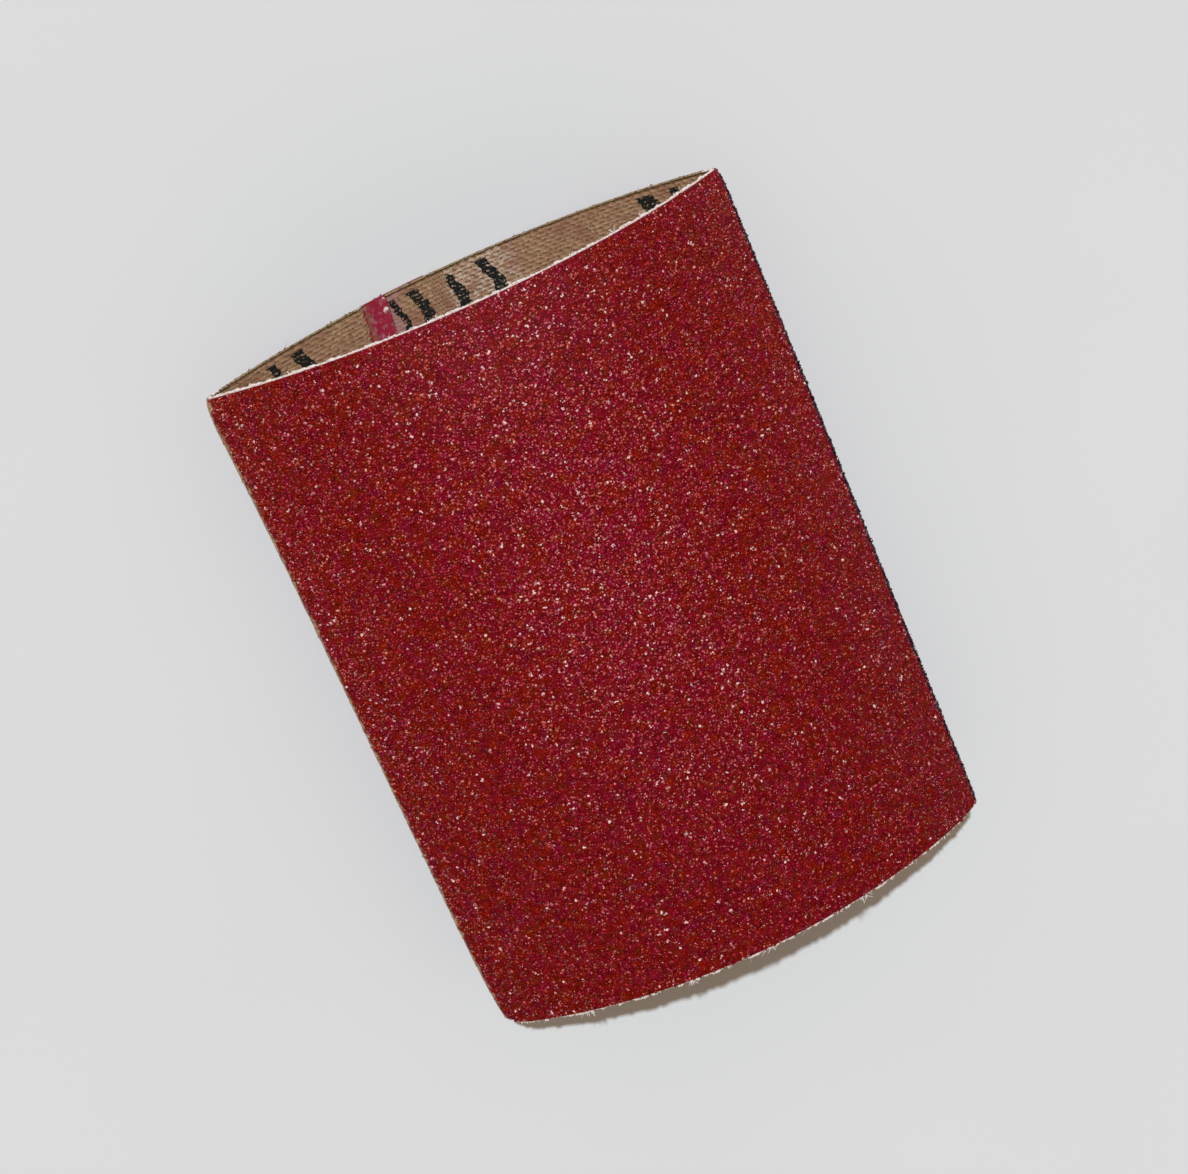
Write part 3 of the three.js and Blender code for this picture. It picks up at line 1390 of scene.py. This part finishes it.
@dataclass
class LapGlue:
    """The adhesive film over the bare strip, with its bead against the cloth's cut end."""

    roller: Roller
    clearance: float = 0.03 * MM
    bead: float = 0.3 * MM
    bead_sharpness: int = 6
    end_margin: float = 0.2 * MM
    lump: float = 0.1 * MM
    cells: tuple[int, int] = (14, 400)
    seed: int = 5

    def build(self) -> bpy.types.Object:
        """Rolls the film.

        Returns:
            The film.
        """
        lap, section = self.roller.lap, self.roller.section
        start = lap.bare_start + section.girth
        end = lap.cloth_start - self.clearance + section.girth
        film = Bench.blank("lap_glue", start, end, section.length - 2 * self.end_margin, self.cells)
        self.roller.roll(film, self._faces, self._lumps)
        LapGlueFinish(start).material().on(film)
        ride(film, "glue", "splice_glue")
        return film

    def _faces(self, around: np.ndarray) -> tuple[np.ndarray, np.ndarray]:
        """Depths of the film's two faces, with the bead at its far edge.

        Args:
            around: Distances round the loop.

        Returns:
            The depths of its inner face and of its outer face.
        """
        lap = self.roller.lap
        start = lap.bare_start + lap.section.girth
        share = np.clip((around - start) / lap.bare_strip, 0, 1)
        outer = lap.cloth - lap.veil - lap.gap / 2 + lap.lift(around)
        return outer - lap.glue - (self.bead - lap.glue) * share**self.bead_sharpness, outer

    def _lumps(self, flat: np.ndarray) -> np.ndarray:
        """Makes the film's open face lumpy.

        Args:
            flat: The blank's points, one row each.

        Returns:
            What is added to the depth of each.
        """
        rng = np.random.default_rng(self.seed)
        lumps = rng.uniform(0, self.lump, len(flat))
        return np.where(flat[:, 2] < 0.5, -lumps, 0)


class Strand(Enum):
    """Kinds of strand that stand out of a cut end: thickness, length and how far it strays."""

    YARN = (0.2 * MM, 0.42 * MM, 0.03)
    FRAY = (0.09 * MM, 0.5 * MM, 0.35)
    FIBRE = (0.02 * MM, 0.7 * MM, 1.1)
    TUFT = (0.075 * MM, 0.75 * MM, 0.75)

    @property
    def radius(self) -> float:
        """Its usual radius."""
        return self.value[0]

    @property
    def reach(self) -> float:
        """How far it usually stands out."""
        return self.value[1]

    @property
    def stray(self) -> float:
        """How much it leans sideways for its length."""
        return self.value[2]


@dataclass
class CutEnds:
    """Yarn ends, frayed yarns and loose fibres that stand out of the two cut ends of the cloth."""

    roller: Roller
    yarn_pitch: float = 0.27 * MM
    yarn_depths: tuple[float, float] = (0.3, 0.62)
    fray_pitch: float = 0.2 * MM
    fray_depth: float = 0.55
    shortest_fray: float = 0.3
    fibre_pitch: float = 2.2 * MM
    fibre_depth: float = 0.5
    tufts: tuple[tuple[float, int], ...] = (
        (0.6 * MM, -1), (-11.5 * MM, -1), (-26.7 * MM, -1), (16 * MM, -1), (20 * MM, 1))
    tuft_depth: float = 0.6
    tuft_spread: float = 0.3 * MM
    tuft_count: int = 9
    past_crease: float = 2 * MM
    clump_periods: tuple[float, ...] = (1.3 * MM, 2.9 * MM, 5.3 * MM, 9.7 * MM)
    seed: int = 21
    rng: np.random.Generator = field(init=False)
    moulds: dict[Strand, Mould] = field(init=False)

    def build(self) -> list[bpy.types.Object]:
        """Makes the strands, white ones on the upper wall and dark ones, painted as shade, on the lower
        wall.

        Returns:
            The upper wall's piece and the lower wall's piece.
        """
        self.rng = np.random.default_rng(self.seed)
        self.moulds = {kind: self._strand(kind) for kind in Strand}
        return [
            self._strands("cut_yarn_ends", WHITE_COTTON, upper=True),
            self._strands("shaded_yarn_ends", SHADED_COTTON, upper=False),
        ]

    def _strands(self, name: str, finish: CutCotton, upper: bool) -> bpy.types.Object:
        """Makes one wall's strands at both ends.

        Args:
            name: Name of the piece.
            finish: What the strands look like.
            upper: Whether it is the upper wall.

        Returns:
            The new object.
        """
        copies = Copies()
        for end in (-1, 1):
            around = self._stations(self.yarn_pitch, upper)
            length = self._yarn_lengths(around, end, upper)
            front, back = self.yarn_depths
            self._plant(copies, Strand.YARN, around, end, length, front)
            self._plant(copies, Strand.YARN, around + self.yarn_pitch / 2, end, length, back)
            around = self._stations(self.fray_pitch, upper)
            length = self._clumps(around, 0.22 if end < 0 else 0.12) * (1.0 if upper else 0.5)
            long = length > self.shortest_fray
            self._plant(copies, Strand.FRAY, around[long], end, length[long], self.fray_depth)
            around = self._stations(self.fibre_pitch * (1 if upper else 5), upper)
            length = self.rng.uniform(0.5, 1.2, len(around))
            self._plant(copies, Strand.FIBRE, around, end, length, self.fibre_depth)
        if upper:
            self._tufts(copies)
        strands = copies.join(name, self.roller)
        finish.material().on(strands)
        ride(strands, "backing_cloth")
        return strands

    def _yarn_lengths(self, around: np.ndarray, end: int, upper: bool) -> np.ndarray:
        """Draws how far the yarns stand out: longest on the upper wall at the -Y end.

        Args:
            around: Distances round the loop.
            end: 1 for the +Y end and -1 for the other.
            upper: Whether it is the upper wall.

        Returns:
            The length of each yarn, as a share of its kind's reach.
        """
        if not upper:
            return np.full(len(around), 0.4)
        if end > 0:
            return 0.35 + 0.3 * self._clumps(around, 0.5)
        return 0.68 + 0.55 * self._clumps(around, 0.45)

    def _tufts(self, copies: Copies) -> None:
        """Plants the tufts on the upper wall.

        Args:
            copies: Where the strands are collected.
        """
        for place, end in self.tufts:
            around = self.roller.section.half_girth - place
            around = around + self.rng.normal(0, self.tuft_spread, self.tuft_count)
            length = self.rng.uniform(0.5, 1.35, self.tuft_count)
            self._plant(copies, Strand.TUFT, around, end, length, self.tuft_depth)

    def _stations(self, pitch: float, upper: bool) -> np.ndarray:
        """Spaces strands round one wall, with some scatter.

        Args:
            pitch: Distance between them.
            upper: Whether it is the upper wall.

        Returns:
            Distances round the loop.
        """
        section, lap = self.roller.section, self.roller.lap
        crease_end = section.half_girth - section.half_wall
        if upper:
            far = crease_end + 2 * section.half_wall + self.past_crease
            stations = np.arange(crease_end - self.past_crease, far, pitch)
        else:
            right = np.arange(lap.cloth_start, crease_end - self.past_crease, pitch)
            left = np.arange(section.girth - section.half_wall, lap.skive_start + section.girth, pitch)
            stations = np.concatenate([right, left])
        return stations + self.rng.normal(0, 0.16, len(stations)) * pitch

    def _clumps(self, around: np.ndarray, share: float) -> np.ndarray:
        """Draws a strength that changes slowly round the rim.

        Args:
            around: Distances round the loop.
            share: The share of the rim on which the strength is above 0.

        Returns:
            The strength at each distance, from 0 to 1.3.
        """
        waves = sum(
            np.sin(around / period * 2 * math.pi + self.rng.uniform(0, 6)) for period in self.clump_periods)
        level = np.quantile(waves, 1 - share)
        return np.clip((waves - level) / 1.5 + 0.35, 0, 1.3) * (waves > level)

    def _plant(self, copies: Copies, kind: Strand, around: np.ndarray, end: int,
               length: np.ndarray, depth_share: float) -> None:
        """Stands strands out of one cut end.

        Args:
            copies: Where the strands are collected.
            kind: The kind of strand.
            around: Distances round the loop.
            end: 1 for the +Y end and -1 for the other.
            length: How far each stands out, as a share of its kind's reach.
            depth_share: How deep in the cloth they start, as a share of its thickness.
        """
        rng, count = self.rng, len(around)
        reach = kind.reach * length * rng.uniform(0.88, 1.12, count)
        radius = kind.radius * rng.uniform(0.8, 1.1, count)
        cloth = self.roller.lap.cloth
        depth = depth_share * cloth + rng.normal(0, 0.06, count) * cloth
        centres = np.column_stack([around, np.full(count, end * self.roller.section.length / 2), depth])
        turns = np.zeros((count, 3, 3))
        spin = rng.uniform(0, 2 * math.pi, count) if kind is not Strand.YARN else np.zeros(count)
        turns[:, 0, 0], turns[:, 0, 2] = radius * np.cos(spin), -radius * np.sin(spin)
        turns[:, 2, 0], turns[:, 2, 2] = radius * np.sin(spin), radius * np.cos(spin)
        turns[:, 1, 1] = end * reach
        turns[:, 0, 1] = reach * kind.stray * rng.normal(0, 1, count)
        turns[:, 2, 1] = reach * kind.stray * rng.normal(0.25, 0.5, count)
        copies.add(self.moulds[kind], centres, turns)

    @staticmethod
    def _strand(kind: Strand) -> Mould:
        """Makes a strand of unit radius that stands out by one unit along Y and starts a little inside.

        Args:
            kind: The kind of strand. All but yarns are bent.

        Returns:
            Its mould.
        """
        Bench.clear()
        sides = 6 if kind is Strand.YARN else 4
        bpy.ops.mesh.primitive_cylinder_add(vertices=sides, radius=1, depth=1, rotation=(-math.pi / 2, 0, 0))
        bpy.ops.object.transform_apply(rotation=True)
        bpy.ops.object.mode_set(mode="EDIT")
        bpy.ops.mesh.select_all(action="SELECT")
        bpy.ops.transform.translate(value=(0, 0.5, 0))
        for level in (0.3, 0.6, 0.85):
            bpy.ops.mesh.select_all(action="SELECT")
            bpy.ops.mesh.bisect(plane_co=(0, level, 0), plane_no=(0, 1, 0))
        bpy.ops.object.mode_set(mode="OBJECT")
        strand = bpy.context.object
        places = Bench.corners(strand)
        tip = places[:, 1]
        taper = np.where(tip > 0.9, 0.45, np.where(tip > 0.7, 0.85, 1.0))
        places[:, [0, 2]] *= taper[:, None]
        if kind is not Strand.YARN:
            places[:, 0] += 4.0 * tip**2
        places[:, 1] = tip - 0.15 * (tip < 0.01)
        Bench.move_corners(strand, places)
        return Mould.from_active()


# ---------------------------------------------------------------- the studio


@dataclass
class Studio:
    """Floor, light and camera."""

    section: PressedSection
    tilt: float = math.radians(17.63)
    lean: float = math.radians(3.42)
    roll: float = math.radians(24.77)
    distance: float = 455 * MM
    offset: tuple[float, float] = (-1.94 * MM, 2.66 * MM)
    lens: float = 99.3
    key_from: tuple[float, float, float] = (-0.05, 0.543, 1.0)
    key_size: float = math.radians(1.4)
    key_strength: float = 2.5
    key_colour: Colour = (0.825, 0.925, 1.0)
    fill_strength: float = 0.31
    fill_colour: Colour = (1.0, 0.79, 0.6)
    paper_size: float = 3.0
    paper_shade: Colour = (0.79, 0.79, 0.79)
    paper_light: Colour = (0.82, 0.82, 0.82)

    def build(self) -> None:
        """Sets everything up."""
        self._floor()
        self._lights()
        self._camera()
        bpy.context.scene.view_settings.view_transform = "Standard"

    def _view_matrix(self) -> Matrix:
        """Turns the sleeve's frame into the camera's."""
        return (Matrix.Rotation(self.roll, 3, "Z") @ Matrix.Rotation(self.lean, 3, "Y")
                @ Matrix.Rotation(self.tilt, 3, "X"))

    def _camera(self) -> None:
        """Places the camera."""
        turn = self._view_matrix().transposed()
        centre = Vector((0, 0, self.section.middle_z))
        lens = bpy.data.cameras.new("camera")
        lens.lens = self.lens
        lens.sensor_width = 36
        camera = bpy.data.objects.new("camera", lens)
        place = centre + turn @ Vector((*self.offset, self.distance))
        camera.matrix_world = Matrix.Translation(place) @ turn.to_4x4()
        bpy.context.scene.collection.objects.link(camera)
        bpy.context.scene.camera = camera

    def _lights(self) -> None:
        """Sets a warm fill all round and one key light."""
        world = bpy.data.worlds.new("studio")
        world.use_nodes = True
        fill = world.node_tree.nodes["Background"]
        fill.inputs["Color"].default_value = (*self.fill_colour, 1)
        fill.inputs["Strength"].default_value = self.fill_strength
        bpy.context.scene.world = world
        sun = bpy.data.lights.new("key", "SUN")
        sun.energy = self.key_strength
        sun.color = self.key_colour
        sun.angle = self.key_size
        key = bpy.data.objects.new("key", sun)
        key.matrix_world = Vector(self.key_from).to_track_quat("Z", "Y").to_matrix().to_4x4()
        bpy.context.scene.collection.objects.link(key)

    def _floor(self) -> None:
        """Lays the paper."""
        Bench.clear()
        bpy.ops.mesh.primitive_plane_add(size=self.paper_size)
        floor = Bench.named("paper")
        shader = Shader("paper_finish", roughness=0.6, Specular_IOR_Level=0.1)
        shader.set(Base_Color=shader.mix(shader.noise(18.0, 2.0), self.paper_shade, self.paper_light))
        shader.on(floor)


def main() -> None:
    """Builds the sleeve and its studio."""
    logging.basicConfig(level=logging.INFO, format="%(name)s %(message)s")
    low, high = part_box("size_coat")
    section = PressedSection(half_width=high.x, length=high.y - low.y)
    lap = Lap(section)
    roller = Roller(section, lap)
    Studio(section).build()
    Cloth(roller).build()
    Coats(roller).build()
    GrainBed(roller).build()
    LapGlue(roller).build()
    CutEnds(roller).build()


if __name__ == "__main__":
    main()
